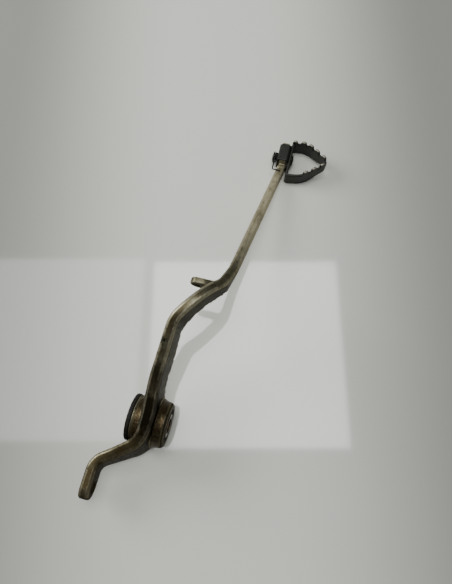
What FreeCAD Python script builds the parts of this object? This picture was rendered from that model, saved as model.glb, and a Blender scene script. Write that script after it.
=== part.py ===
"""Rear brake pedal of an off-road motorcycle: the right-hand foot lever with a folding step.

Millimetres. The origin is the centre of the pivot bore. +X points forward to the toe,
+Y inboard to the motorcycle's frame and +Z up. The pivot's axis and the step pin's are along Y.
"""
import FreeCAD, Part
import math
import os

V = FreeCAD.Vector
Y_AXIS = V(0, 1, 0)
FIT_GAP = 0.04                      # radial play of the running pivots

# Arm: one bar, bent in plan and cut to an outline in side view
HUB_PLATE_Y = -1.7                  # middle of the arm where the boss goes through
HUB_PLATE_T = 8.8
EYE_X, EYE_Y, EYE_Z = -46.0, 24.7, 2.0
EYE_R = 7.75                        # outside of the clevis eye
EYE_BORE_R = 4.1                    # takes an 8 mm clevis pin
HUB_PLATE_R = 15.8                  # ring of plate round the boss
WALL_BOTTOM, WALL_H = -30.0, 90.0
STRAP_LEAN = 0.18                   # the rear strap leans: forward shift per millimetre of height
REAR_END_X = 4.0                    # where the leaning strap runs into the upright arm

# Folding step's pin
PIN_X, PIN_Z = 219.0, -10.0
PIN_R = 2.5
STEP_Y = -41.3                      # middle of the bracket and of the arm's tongue
TONGUE_T = 6.2                      # the arm is flattened inside the bracket
TONGUE_R = 5.5
TONGUE_START = 209.5
TONGUE_NOSE = 231.4
NOSE_CORNER = 2.5

# Straight bar between the last bend and the tongue: its top edge falls evenly
BAR_TOP_X, BAR_TOP_Z = 115.0, 10.5
BAR_FALL = 0.197                    # drop per millimetre forward
BAR_DEPTH = 7.1


def bar_top(x):
    return BAR_TOP_Z - BAR_FALL * (x - BAR_TOP_X)


# Plan of the arm's middle line, rear to front: x, y, bend radius and thickness
ARM_PLAN = [
    (EYE_X - EYE_R - 4, EYE_Y, 0, 6.8),
    (-30.2, EYE_Y, 10, 6.8),
    (-14.0, HUB_PLATE_Y, 12, 7.6),
    (REAR_END_X, HUB_PLATE_Y, 0, HUB_PLATE_T),
    (26, 0.2, 60, 7.6),
    (60, -3, 16, 7.0),
    (92.3, -25, 14, 7.0),
    (208, STEP_Y, 50, 6.8),
    (TONGUE_NOSE + 1, STEP_Y, 0, 6.8),
]
REAR_POINTS = 4                     # how many of them belong to the leaning strap

# Side view of the arm: x, z and corner radius, along the top edge and back along the bottom
ARM_SIDE = [
    (EYE_X - EYE_R, EYE_Z + EYE_R, EYE_R - 0.05),
    (-26, EYE_Z + EYE_R, 14),
    (-9.5, 24, 12),
    (26, 26.5, 60),
    (76.9, 49.7, 22),
    (111.3, bar_top(111.3), 22),
    (PIN_X, bar_top(PIN_X), 0),
    (PIN_X, PIN_Z - TONGUE_R, 0),
    (112.5, bar_top(112.5) - BAR_DEPTH, 25),
    (73.5, 26, 10),
    (44, 3.5, 20),
    (20, -4, 10),
    (4, -14, 0),
    (-6, -14, 0),
    (-20, EYE_Z - EYE_R, 10),
    (EYE_X - EYE_R, EYE_Z - EYE_R, EYE_R - 0.05),
]

# Pivot boss, from the outboard end to the inboard end
BOSS_R = 14.5
BOSS_BORE_R = 9.0
BOSS_OUT, BOSS_IN = -12.7, 9.4
BOSS_CHAMFER = 1.6
WELD_RISE = 1.3                     # up the plate
WELD_RUN = 4.5                      # along the boss
BUSH_L = 8.0
COLLAR_R = 7.5
COLLAR_BORE_R = 5.1                 # takes a 10 mm pivot bolt
COLLAR_HALF_L = 12.9
SEAL_R = 14.9                       # the inboard seal's flange
SEAL_FLANGE = 2.8
SEAL_SPIGOT = 1.5
SEAL_PLAY = 0.1                     # the lips only just clear the collar
SEAL_RECESS_R = 10.8
SEAL_RECESS = 2.5

# Return-spring tab on the inboard side
TAB_X, TAB_T = 89.0, 4.0
TAB_Z, TAB_H = 23.0, 10.0
TAB_END_Y, TAB_ROOT_Y = -3.6, -27.0
TAB_HOLE_R = 1.6
TAB_WELD_R = 1.8

# Step bracket: a folded channel over the tongue
SHEET = 1.2
CHANNEL_GAP = 6.6
WEB_CORNER = 2.8
CHANNEL_W = CHANNEL_GAP + 2 * SHEET
CHANNEL_REAR, CHANNEL_FRONT = 211.8, 228.8
WEB_REAR = 214.0
WEB_UNDER = PIN_Z + TONGUE_R + 0.2
WEB_TOP = WEB_UNDER + SHEET
CHEEK_BOTTOM = -15.5
CHEEK_IN_Y = STEP_Y + CHANNEL_W / 2
CHEEK_OUT_Y = STEP_Y - CHANNEL_W / 2

# Cleat loop: plan of its outer face, x, y and corner radius
BAND_T = 2.0
LOOP_PLAN = [
    (201.2, CHEEK_OUT_Y, 2.4),
    (232.4, CHEEK_OUT_Y, 2.2),
    (234.2, -58.5, 16),
    (220.4, -78.6, 5),
    (203.6, -59.8, 22),
]
LOOP_BOTTOM, LOOP_TOP = -16.0, -4.9
LOOP_RISE_Y, LOOP_FAR_Y = -62.0, -77.0   # between these the underside rises to the far end
LOOP_RISE = 4.5
# Teeth: x, y of each, from the front weld round the far corner to the rear side
TOOTH_SPOTS = [
    (231.7, -47.9),
    (232.5, -54.9),
    (231.1, -60.9),
    (228.3, -67.0),
    (223.8, -72.8),
    (216.0, -73.2),
    (211.2, -67.3),
    (207.6, -60.7),
]
TOOTH_H = 3.0
TOOTH_FOOT, TOOTH_TIP = 4.6, 2.4
TRACK_STEP = 0.1                    # spacing of the points that the teeth are placed on
BEAD_R = 0.9

# Pin, washer and spring
HEAD_R, HEAD_H = 4.6, 1.8
RIVET_R, RIVET_H = 4.0, 1.3
WASHER_R, WASHER_T = 4.6, 0.5
SPRING_WIRE_R = 0.45
SPRING_R = 3.6                      # middle of the wire from the pin's axis
SPRING_TURNS = 1.25
SPRING_PITCH = 1.0
SPRING_ROOM = 2.5                   # along the pin, between its head and the cheek
SPRING_LEG_X = 206.0


def rounded_outline(points, place, closed=True):
    """Straight runs joined by tangent arcs. points are (u, v, radius), place turns (u, v) to a vector."""
    count = len(points)
    ends = []
    for i, (u, v, radius) in enumerate(points):
        corner = place(u, v)
        if radius <= 0 or (not closed and i in (0, count - 1)):
            ends.append((corner, None, corner))
            continue
        back = (place(*points[i - 1][:2]) - corner).normalize()
        ahead = (place(*points[(i + 1) % count][:2]) - corner).normalize()
        half = back.getAngle(ahead) / 2
        reach = radius / math.tan(half)
        middle = corner + (back + ahead).normalize() * (radius / math.sin(half) - radius)
        ends.append((corner + back * reach, middle, corner + ahead * reach))
    edges = []
    for i, (start, middle, end) in enumerate(ends):
        if middle is not None:
            edges.append(Part.Arc(start, middle, end).toShape())
        if closed or i < count - 1:
            following = ends[(i + 1) % count][0]
            if (following - end).Length > 1e-6:
                edges.append(Part.LineSegment(end, following).toShape())
    return Part.Wire(edges)


def offset_route(points, side):
    """One face of the bar: the plan route moved by half its thickness, to its left (1) or right (-1)."""
    moved = []
    for i, (x, y, radius, thickness) in enumerate(points):
        here = V(x, y, 0)
        shift = side * thickness / 2
        before = here - V(*points[i - 1][:2], 0) if i else None
        after = V(*points[i + 1][:2], 0) - here if i < len(points) - 1 else None
        before = (before or after).normalize()
        after = (after or before).normalize()
        left = V(-before.y - after.y, before.x + after.x, 0).normalize()
        spot = here + left * (shift / math.cos(before.getAngle(after) / 2))
        turns_left = before.cross(after).z > 0
        new_radius = radius - shift if turns_left else radius + shift
        moved.append((spot.x, spot.y, new_radius if radius else 0))
    return moved


def in_plan(z):
    return lambda x, y: V(x, y, z)


def in_side(y):
    return lambda x, z: V(x, y, z)


def rod(x, y, z, radius, length, axis=Y_AXIS):
    return Part.makeCylinder(radius, length, V(x, y, z), axis)


def tube(y0, y1, outer, inner):
    """A ring round the pivot's axis."""
    return rod(0, y0, 0, outer, y1 - y0).cut(rod(0, y0 - 1, 0, inner, y1 - y0 + 2))


def ribbon(points, lean):
    """Part of the bar's width in plan, as a wall as tall as the arm. lean is its forward shift per height."""
    outline = rounded_outline(offset_route(points, 1) + offset_route(points, -1)[::-1], in_plan(0))
    wall = Part.Face(outline).extrude(V(lean * WALL_H, 0, WALL_H))
    datum = WALL_BOTTOM - EYE_Z - EYE_R
    wall.translate(V(lean * datum, 0, WALL_BOTTOM))
    return wall


def pedal_arm():
    side = Part.Face(rounded_outline(ARM_SIDE, in_side(-60))).extrude(V(0, 100, 0))
    rear = ribbon(ARM_PLAN[:REAR_POINTS], STRAP_LEAN)
    front = ribbon(ARM_PLAN[REAR_POINTS - 1:], 0)
    arm = rear.common(side).fuse(front.common(side))
    arm = arm.fuse(rod(0, HUB_PLATE_Y - HUB_PLATE_T / 2, 0, HUB_PLATE_R, HUB_PLATE_T))
    for sign in (-1, 1):
        spare = Part.makeBox(60, 10, 60, V(TONGUE_START, STEP_Y - 5, -40))
        spare.translate(V(0, sign * (TONGUE_T / 2 + 5), 0))
        arm = arm.cut(spare)
    nose_top = PIN_Z + TONGUE_R
    nose_bottom = PIN_Z - TONGUE_R
    tongue_side = [
        (PIN_X - TONGUE_R, nose_top, TONGUE_R - 0.05),
        (TONGUE_NOSE, nose_top, NOSE_CORNER),
        (TONGUE_NOSE, nose_bottom, NOSE_CORNER),
        (PIN_X - TONGUE_R, nose_bottom, TONGUE_R - 0.05),
    ]
    tongue_y = STEP_Y - TONGUE_T / 2
    tongue = Part.Face(rounded_outline(tongue_side, in_side(tongue_y))).extrude(V(0, TONGUE_T, 0))
    arm = arm.fuse(tongue)
    arm = arm.cut(rod(0, -40, 0, BOSS_R, 80))
    arm = arm.cut(rod(EYE_X, EYE_Y - 20, EYE_Z, EYE_BORE_R, 40))
    arm = arm.cut(rod(PIN_X, STEP_Y - 20, PIN_Z, PIN_R + FIT_GAP, 40))
    return arm.removeSplitter()


def pivot_boss():
    boss = rod(0, BOSS_OUT, 0, BOSS_R, BOSS_IN - BOSS_OUT)
    rim = [edge for edge in boss.Edges if abs(edge.CenterOfMass.y - BOSS_OUT) < 0.01]
    boss = boss.makeChamfer(BOSS_CHAMFER, rim)
    boss = boss.cut(rod(0, BOSS_OUT - 1, 0, BOSS_BORE_R, 40))
    return boss.cut(rod(0, BOSS_OUT - 1, 0, SEAL_RECESS_R, SEAL_RECESS + 1))


def boss_weld(side, arm):
    """Fillet weld round the boss: side is -1 outboard and +1 inboard."""
    face = HUB_PLATE_Y + side * HUB_PLATE_T / 2
    corners = [V(BOSS_R, face, 0), V(BOSS_R + WELD_RISE, face, 0), V(BOSS_R, face + side * WELD_RUN, 0)]
    section = Part.Face(Part.makePolygon(corners + corners[:1]))
    return section.revolve(V(0, 0, 0), Y_AXIS, 360).cut(arm)


def pivot_bush(y0):
    return tube(y0, y0 + BUSH_L, BOSS_BORE_R, COLLAR_R + FIT_GAP)


def dust_seal_inboard():
    lip = COLLAR_R + SEAL_PLAY
    flange = tube(BOSS_IN, BOSS_IN + SEAL_FLANGE, SEAL_R, lip)
    groove = tube(BOSS_IN + SEAL_FLANGE - 0.8, BOSS_IN + SEAL_FLANGE + 1, SEAL_R - 1.6, lip + 1.6)
    return flange.fuse(tube(BOSS_IN - SEAL_SPIGOT, BOSS_IN, BOSS_BORE_R, lip)).cut(groove).removeSplitter()


def dust_seal_outboard():
    lip = COLLAR_R + SEAL_PLAY
    ring = tube(BOSS_OUT, BOSS_OUT + SEAL_RECESS, SEAL_RECESS_R, lip)
    return ring.cut(tube(BOSS_OUT - 1, BOSS_OUT + 0.8, SEAL_RECESS_R - 1.2, lip + 1.2))


def spring_tab(arm):
    side_in_yz = [
        (TAB_END_Y, TAB_Z + TAB_H / 2, TAB_H / 2 - 0.05),
        (TAB_ROOT_Y, TAB_Z + TAB_H / 2, 0),
        (TAB_ROOT_Y, TAB_Z - TAB_H / 2, 0),
        (TAB_END_Y, TAB_Z - TAB_H / 2, TAB_H / 2 - 0.05),
    ]
    outline = rounded_outline(side_in_yz, lambda y, z: V(TAB_X, y, z))
    tab = Part.Face(outline).extrude(V(TAB_T, 0, 0))
    hole_y = TAB_END_Y - TAB_H / 2
    tab = tab.cut(rod(TAB_X - 1, hole_y, TAB_Z, TAB_HOLE_R, TAB_T + 2, V(1, 0, 0)))
    pieces = tab.cut(arm).Solids
    return max(pieces, key=lambda solid: solid.BoundBox.YMax)


def tab_weld(arm, tab):
    """Bead up the rear face of the tab, where it meets the arm."""
    root_y = min(vertex.Y for vertex in tab.Vertexes if abs(vertex.X - TAB_X) < 0.01)
    bead = rod(TAB_X, root_y, TAB_Z - TAB_H / 2, TAB_WELD_R, TAB_H, V(0, 0, 1))
    pieces = bead.cut(arm).cut(tab).Solids
    return max(pieces, key=lambda solid: solid.Volume)


def spring_hole():
    """Where the torsion spring's front end enters the bracket's inboard cheek."""
    return rod(PIN_X + SPRING_R, STEP_Y + 1, PIN_Z, SPRING_WIRE_R + 0.05, 20)


def step_bracket():
    side = [
        (CHANNEL_REAR, WEB_TOP, 4.5),
        (CHANNEL_FRONT, WEB_TOP, 2.0),
        (CHANNEL_FRONT, CHEEK_BOTTOM, 3.0),
        (CHANNEL_REAR, CHEEK_BOTTOM, 4.5),
    ]
    block = Part.Face(rounded_outline(side, in_side(CHEEK_OUT_Y))).extrude(V(0, CHANNEL_W, 0))
    gap_y = STEP_Y - CHANNEL_GAP / 2
    block = block.cut(Part.makeBox(60, CHANNEL_GAP, 40, V(CHANNEL_REAR - 10, gap_y, WEB_UNDER - 40)))
    behind_web = WEB_REAR - CHANNEL_REAR + 10
    block = block.cut(Part.makeBox(behind_web, CHANNEL_GAP, 40, V(CHANNEL_REAR - 10, gap_y, WEB_UNDER - 1)))
    plan = [
        (CHANNEL_REAR - 1, CHEEK_IN_Y, 0),
        (CHANNEL_FRONT, CHEEK_IN_Y, WEB_CORNER),
        (CHANNEL_FRONT, CHEEK_OUT_Y, 0),
        (CHANNEL_REAR - 1, CHEEK_OUT_Y, 0),
    ]
    block = block.common(Part.Face(rounded_outline(plan, in_plan(CHEEK_BOTTOM - 1))).extrude(V(0, 0, 40)))
    block = block.cut(rod(PIN_X, STEP_Y - 20, PIN_Z, PIN_R, 40))
    return block.cut(spring_hole())


def loop_face(shrink):
    """Plan of the cleat loop's outer face, moved inwards by shrink."""
    wire = rounded_outline(LOOP_PLAN, in_plan(LOOP_BOTTOM))
    if shrink:
        wire = wire.makeOffset2D(-shrink)
    return Part.Face(wire)


def tooth(spot, along):
    """One cog on the band's top edge: wider at its foot, along the band."""
    across = V(-along.y, along.x, 0)
    foot = LOOP_TOP - 0.5
    tip = LOOP_TOP + TOOTH_H
    corners = []
    for reach, z in ((-TOOTH_FOOT, foot), (TOOTH_FOOT, foot), (TOOTH_TIP, tip), (-TOOTH_TIP, tip)):
        corners.append(V(spot.x, spot.y, z) + along * (reach / 2) - across * (BAND_T / 2))
    return Part.Face(Part.makePolygon(corners + corners[:1])).extrude(across * BAND_T)


def cleat_loop():
    height = LOOP_TOP - LOOP_BOTTOM
    band = loop_face(0).cut(loop_face(BAND_T)).extrude(V(0, 0, height))
    middle = loop_face(BAND_T / 2).OuterWire
    track = middle.discretize(Distance=TRACK_STEP)
    for x, y in TOOTH_SPOTS:
        at = min(range(1, len(track) - 1), key=lambda i: math.hypot(track[i].x - x, track[i].y - y))
        along = (track[at + 1] - track[at - 1]).normalize()
        band = band.fuse(tooth(track[at], along))
    keep = loop_face(0).extrude(V(0, 0, height + TOOTH_H)).cut(loop_face(BAND_T).extrude(V(0, 0, 40)))
    band = band.common(keep).removeSplitter()
    under = Part.Face(Part.makePolygon([
        V(190, LOOP_RISE_Y, LOOP_BOTTOM), V(190, LOOP_FAR_Y, LOOP_BOTTOM + LOOP_RISE),
        V(190, LOOP_FAR_Y, LOOP_BOTTOM), V(190, LOOP_RISE_Y, LOOP_BOTTOM)])).extrude(V(60, 0, 0))
    return band.cut(under).cut(rod(PIN_X, CHEEK_OUT_Y - 10, PIN_Z, PIN_R, 20))


def loop_weld(x, y, bracket, loop):
    """Upright bead between the bracket's outboard cheek and the loop."""
    bead = rod(x, y, CHEEK_BOTTOM + 3, BEAD_R, WEB_TOP - CHEEK_BOTTOM - 6, V(0, 0, 1))
    pieces = bead.cut(bracket).cut(loop).Solids
    return max(pieces, key=lambda solid: solid.Volume)


def step_pin():
    """Turned in one piece: low round head, shank and the riveted-over outboard end."""
    head_y = CHEEK_IN_Y + SPRING_ROOM
    rivet_y = CHEEK_OUT_Y - BAND_T - WASHER_T

    def at(radius, y):
        return V(PIN_X, y, PIN_Z + radius)

    def crown(y, radius, height, side):
        """Middle point of the arc from the head's rim to its tip."""
        ball_r = (radius * radius + height * height) / (2 * height)
        half = math.asin(radius / ball_r) / 2
        return at(ball_r * math.sin(half), y + side * (height - ball_r + ball_r * math.cos(half)))

    head_tip = at(0, head_y + HEAD_H)
    rivet_tip = at(0, rivet_y - RIVET_H)
    edges = [
        Part.Arc(head_tip, crown(head_y, HEAD_R, HEAD_H, 1), at(HEAD_R, head_y)).toShape(),
        Part.LineSegment(at(HEAD_R, head_y), at(PIN_R, head_y)).toShape(),
        Part.LineSegment(at(PIN_R, head_y), at(PIN_R, rivet_y)).toShape(),
        Part.LineSegment(at(PIN_R, rivet_y), at(RIVET_R, rivet_y)).toShape(),
        Part.Arc(at(RIVET_R, rivet_y), crown(rivet_y, RIVET_R, RIVET_H, -1), rivet_tip).toShape(),
        Part.LineSegment(rivet_tip, head_tip).toShape(),
    ]
    return Part.Face(Part.Wire(edges)).revolve(V(PIN_X, 0, PIN_Z), Y_AXIS, 360)


def pin_washer():
    y = CHEEK_OUT_Y - BAND_T - WASHER_T
    return rod(PIN_X, y, PIN_Z, WASHER_R, WASHER_T).cut(rod(PIN_X, y - 1, PIN_Z, PIN_R, 5))


def step_spring():
    """Coil round the pin, a rear leg hooked over the bar and a front end in the bracket."""
    first_y = CHEEK_IN_Y + SPRING_WIRE_R + 0.15
    helix = Part.makeHelix(SPRING_PITCH, SPRING_PITCH * SPRING_TURNS, SPRING_R)
    section = Part.Wire(Part.makeCircle(SPRING_WIRE_R, V(SPRING_R, 0, 0), Y_AXIS))
    coil = helix.makePipeShell([section], True, True)
    coil.rotate(V(0, 0, 0), V(1, 0, 0), -90)
    coil = coil.mirror(V(0, 0, 0), V(0, 0, 1))
    coil.translate(V(PIN_X, first_y, PIN_Z))
    hook = first_y - CHEEK_IN_Y + 1.2
    front_end = rod(PIN_X + SPRING_R, CHEEK_IN_Y - 1.2, PIN_Z, SPRING_WIRE_R, hook)
    last_y = first_y + SPRING_PITCH * SPRING_TURNS
    top = V(PIN_X + 0.3, last_y, PIN_Z + SPRING_R)
    corner = V(SPRING_LEG_X, last_y, bar_top(SPRING_LEG_X) + SPRING_WIRE_R + 0.1)
    over = V(SPRING_LEG_X, STEP_Y, corner.z)
    leg = Part.makeCylinder(SPRING_WIRE_R, (corner - top).Length, top, corner - top)
    bend = Part.makeSphere(SPRING_WIRE_R, corner)
    hook_over = Part.makeCylinder(SPRING_WIRE_R, (over - corner).Length, corner, over - corner)
    return coil.fuse([front_end, leg, bend, hook_over])


def build():
    arm = pedal_arm()
    tab = spring_tab(arm)
    bracket = step_bracket()
    loop = cleat_loop()
    bush_in = BOSS_IN - SEAL_SPIGOT - BUSH_L
    bush_out = BOSS_OUT + SEAL_RECESS
    collar = tube(-COLLAR_HALF_L, COLLAR_HALF_L, COLLAR_R, COLLAR_BORE_R)
    return {
        "pedal_arm": arm,
        "pivot_boss": pivot_boss(),
        "boss_weld_inboard": boss_weld(1, arm),
        "boss_weld_outboard": boss_weld(-1, arm),
        "pivot_bush_inboard": pivot_bush(bush_in),
        "pivot_bush_outboard": pivot_bush(bush_out),
        "pivot_collar": collar,
        "dust_seal_inboard": dust_seal_inboard(),
        "dust_seal_outboard": dust_seal_outboard(),
        "spring_tab": tab,
        "tab_weld": tab_weld(arm, tab),
        "step_bracket": bracket,
        "cleat_loop": loop,
        "loop_weld_front": loop_weld(CHANNEL_FRONT - 0.2, CHEEK_OUT_Y + 0.3, bracket, loop),
        "loop_weld_rear": loop_weld(CHANNEL_REAR - 0.1, CHEEK_OUT_Y + 0.2, bracket, loop),
        "step_pin": step_pin(),
        "pin_washer": pin_washer(),
        "step_spring": step_spring(),
    }


os.makedirs("parts", exist_ok=True)
for name, shape in build().items():
    shape.exportStep("parts/" + name + ".step")
    box = shape.BoundBox
    print(f"{name:22s} solids {len(shape.Solids)} valid {shape.isValid()} volume {shape.Volume:9.1f}"
          f"  x {box.XMin:7.1f} {box.XMax:7.1f}  y {box.YMin:6.1f} {box.YMax:6.1f}  z {box.ZMin:6.1f} {box.ZMax:6.1f}")
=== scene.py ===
"""Looks of a right-hand rear brake pedal for an off-road motorcycle, with a folding toothed step.

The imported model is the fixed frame: its nodes are hidden or re-finished, and every piece made here
lies where its node lies. Sizes are in millimetres until a mesh is made, and metres from there on.
+X runs forward to the step, +Y inboard to the motorcycle and +Z up; the origin is the pivot's centre.
"""
import math

import bmesh
import bpy
import numpy as np
from mathutils import Matrix, Vector


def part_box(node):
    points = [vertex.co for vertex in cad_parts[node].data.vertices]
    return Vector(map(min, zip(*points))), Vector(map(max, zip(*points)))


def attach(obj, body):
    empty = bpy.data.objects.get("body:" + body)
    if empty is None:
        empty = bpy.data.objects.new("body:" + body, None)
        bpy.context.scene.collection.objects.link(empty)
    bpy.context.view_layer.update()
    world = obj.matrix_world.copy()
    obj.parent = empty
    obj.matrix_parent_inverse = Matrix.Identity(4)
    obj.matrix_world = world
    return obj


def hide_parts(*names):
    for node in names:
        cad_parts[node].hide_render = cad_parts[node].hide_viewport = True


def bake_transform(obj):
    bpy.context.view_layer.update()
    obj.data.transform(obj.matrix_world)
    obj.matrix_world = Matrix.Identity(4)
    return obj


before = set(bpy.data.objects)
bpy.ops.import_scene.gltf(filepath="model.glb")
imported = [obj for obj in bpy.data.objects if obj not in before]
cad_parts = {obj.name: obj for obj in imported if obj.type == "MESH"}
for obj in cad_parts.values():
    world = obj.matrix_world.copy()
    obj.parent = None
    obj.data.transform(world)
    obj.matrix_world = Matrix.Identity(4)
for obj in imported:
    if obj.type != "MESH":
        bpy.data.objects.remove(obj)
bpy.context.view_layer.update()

MM = 0.001
TAU = 2 * math.pi
SEED = 11
ACROSS = (0.2487, -0.9686, 0.0)      # the direction from the inboard to the outboard side of the table

# ---- Driving sizes, in millimetres ------------------------------------------------------------

# Arm: plan of its middle line, rear to front, as x, y, bend radius and thickness
ARM_PLAN = [
    (-57.75, 24.7, 0, 6.8),
    (-30.2, 24.7, 10, 6.8),
    (-14.0, -1.7, 12, 7.6),
    (4.0, -1.7, 60, 8.8),
    (26.0, 0.2, 60, 7.6),
    (60.0, -3.0, 16, 7.0),
    (92.3, -25.0, 14, 7.0),
    (208.0, -41.3, 50, 6.8),
    (232.4, -41.3, 0, 6.8),
]
# Side view of the arm: x, z and corner radius, forward along the top and back along the bottom
ARM_SIDE = [
    (-53.75, 9.75, 7.7),
    (-26.0, 9.75, 14),
    (-9.5, 24.0, 12),
    (26.0, 26.5, 60),
    (76.9, 49.7, 22),
    (111.3, 11.23, 22),
    (219.0, -9.99, 0),
    (219.0, -15.5, 0),
    (112.5, 3.89, 25),
    (73.5, 26.0, 10),
    (44.0, 3.5, 20),
    (20.0, -4.0, 10),
    (4.0, -14.0, 0),
    (-6.0, -14.0, 0),
    (-20.0, -5.75, 10),
    (-53.75, -5.75, 7.7),
]
EYE = Vector((-46.0, 24.7, 2.0))
EYE_R, EYE_BORE_R = 7.75, 4.1
STRAP_LEAN = 0.18                   # the rear strap leans forward as it rises
LEAN_LEVEL = EYE.z + EYE_R          # height at which the plan above holds
LEAN_FADE = (-5.0, 6.0)             # x over which the lean runs out
EDGE_R = 2.4                        # rounding of the arm's long edges
RIM_R = 1.4                         # rounding of the arm's two ends
ARM_STEP = 0.55                     # spacing of the arm's cross-sections
NOSE_RUN = 3.0                      # the last stretch of the arm, with closer cross-sections
# Nicks along the arm's lower outboard edge: how many, where, how long and how deep, and how far
# round the edge they reach
NICKS, NICK_X, NICK_HALF_L, NICK_DEPTH, NICK_REACH = 60, (16, 104), (0.5, 1.3), (0.2, 1.2), 3.2
NICK_PUSH = (1.5, 1.2)              # how a nick draws the edge in, across and up
HUB_PLATE_Y, HUB_PLATE_T, HUB_PLATE_R = -1.7, 8.8, 15.8

BOSS_R, BOSS_BORE_R = 14.5, 9.0
BOSS_OUT, BOSS_IN = -12.7, 9.4
COVE_LONG, COVE_HIGH = 4.5, 1.25    # the weld round the boss, along it and out from it
COLLAR_R, COLLAR_BORE_R, COLLAR_HALF_L = 7.5, 5.1, 12.9
SEAL_R, SEAL_FLANGE, SEAL_RECESS_R, SEAL_RECESS = 14.9, 2.8, 10.8, 2.5
SEAL_LIP_R = COLLAR_R + 0.1

TAB_X, TAB_T, TAB_Z, TAB_H = 89.0, 4.0, 23.0, 10.0
TAB_END_Y, TAB_ROOT_Y, TAB_HOLE_R, TAB_EDGE_R = -3.6, -22.0, 1.6, 0.8

PIN_X, PIN_Z, PIN_R = 219.0, -10.0, 2.5
STEP_Y = -41.3
TONGUE_T, TONGUE_R, TONGUE_START, TONGUE_NOSE = 6.2, 5.5, 209.5, 231.4
TONGUE_RUN, TONGUE_EDGE_R = 2.0, 1.2     # where the bar thins to the tongue, and its edges
SHEET = 1.2
CHEEK_IN_Y, CHEEK_OUT_Y = -36.8, -45.8
CHANNEL_REAR, CHANNEL_FRONT, WEB_TOP, CHEEK_BOTTOM = 211.8, 228.8, -3.1, -15.5
WEB_REAR, WEB_BEND, WEB_CORNER_R = 213.4, 1.6, 2.6

# Cleat loop: plan of its outer face, x, y and corner radius
LOOP_PLAN = [
    (201.2, CHEEK_OUT_Y, 2.4),
    (232.4, CHEEK_OUT_Y, 2.2),
    (234.2, -58.5, 16),
    (220.4, -78.6, 5),
    (203.6, -59.8, 22),
]
BAND_T, BAND_EDGE_R, LOOP_BOTTOM, LOOP_TOP = 2.0, 0.75, -16.0, -4.9
LOOP_STEP = 0.28                         # spacing of the band's cross-sections
LOOP_RISE_Y, LOOP_FAR_Y = -62.0, -77.0   # between these the underside rises to the far end
LOOP_RISE = 4.5
# Teeth: x, y of each, from the front weld round the far corner to the rear side
TOOTH_SPOTS = [
    (231.7, -47.9),
    (232.5, -54.9),
    (231.1, -60.9),
    (228.3, -67.0),
    (223.8, -72.8),
    (216.0, -73.2),
    (211.2, -67.3),
    (207.6, -60.7),
]
TOOTH_H, TOOTH_HALF_W, TOOTH_SKIRT = 3.3, 2.5, 1.2

SPRING_WIRE_R, SPRING_R, SPRING_TURNS, SPRING_PITCH = 0.45, 3.6, 1.25, 1.0
SPRING_LEG_X, SPRING_LEG_Z = 206.0, -6.9

# ---- Dirt and stage, in metres ----------------------------------------------------------------

OILY_FROM, OILY_BY = 0.035, -0.012       # going back, the arm turns oily between these
PALE_FROM, PALE_BY = 0.105, 0.17         # going forward, its plating turns pale between these
COG_FROM, COG_BY = -0.0031, -0.0019      # going up a cog, its enamel has worn off between these
# Grease: its centre, its reach in millimetres and its strength
GREASE_SPOTS = [
    ((0.004, -0.001, 0.026), 14.0, 1.0),
    ((0.046, 0.0, 0.037), 2.6, 1.0),
    ((0.024, 0.001, 0.027), 9.0, 0.75),
    ((-0.056, 0.024, 0.004), 5.0, 0.9),
    ((0.0, -0.0175, 0.0), 14.0, 0.85),
]
TABLE_HALF = 3.0
TABLE_MID = 0.045                        # across the table, where the painted light falloff leaves it palest
PAINTED_SHADE_FROM, PAINTED_SHADE_BY = 0.03, 0.19            # how far aside of that the painted shade of the falloff begins and ends
ROOM_POWER = 0.2
# Lights: name, centre, aim, size, watts and beam; the ceiling panels show again in the table
LIGHTS = [
    ("window", (0.30, 1.05, 0.60), (0.12, 0.0, 0), (0.60, 0.60), 6.0, 2.2),
    ("ceiling_right", (0.357, -0.035, 1.5), (0.357, -0.035, 0), (0.79, 0.77), 14.0, 3.1),
    ("ceiling_left", (0.165, 0.797, 1.5), (0.165, 0.797, 0), (0.83, 0.76), 6.0, 3.1),
]
CAMERA_LENS = 27.74
CAMERA_AT = (0.00246, -0.05182, 0.3)
CAMERA_RIGHT, CAMERA_UP = (0.2487, -0.9686, -0.0063), (0.9218, 0.2347, 0.3086)

# ---- Colours, as sRGB hex -------------------------------------------------------------------

PLATE_PALE, PLATE_OLIVE, PLATE_BROWN = "#c2bb9a", "#5a5949", "#43371f"
# The edge colour below is bare worn metal and also a painted highlight along the edges.
STAIN_DARK, OIL_BROWN, GREASE, EDGE_WEAR_AND_HIGHLIGHT = "#241d11", "#3a301b", "#0a0805", "#c4bea2"
STAIN_TINT = "#6f6850"             # dulls the glare of dirty metal seen along its surface
PAINT_BLACK, PAINT_GREY, RUST, WORN_TIP = "#0d0e0a", "#1b1c15", "#2a1c0c", "#858276"
BRONZE, GROUND_STEEL, RUBBER_BLACK, WIRE_DARK = "#8a6a3c", "#69665c", "#0e0d0b", "#22211d"
# The second floor colour is painted shade, for the light's falloff toward the table's sides.
FLOOR_PALE, FLOOR_PAINTED_SHADE, ROOM_LIGHT = "#d2d3cb", "#8b8c86", "#f3f5f6"


# ---- Shapes -----------------------------------------------------------------------------------

def linear(colour):
    """An sRGB hex colour as the linear RGBA that Blender takes."""
    values = [int(colour[i:i + 2], 16) / 255 for i in (1, 3, 5)]
    return [v / 12.92 if v <= 0.04045 else ((v + 0.055) / 1.055) ** 2.4 for v in values] + [1.0]


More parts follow.
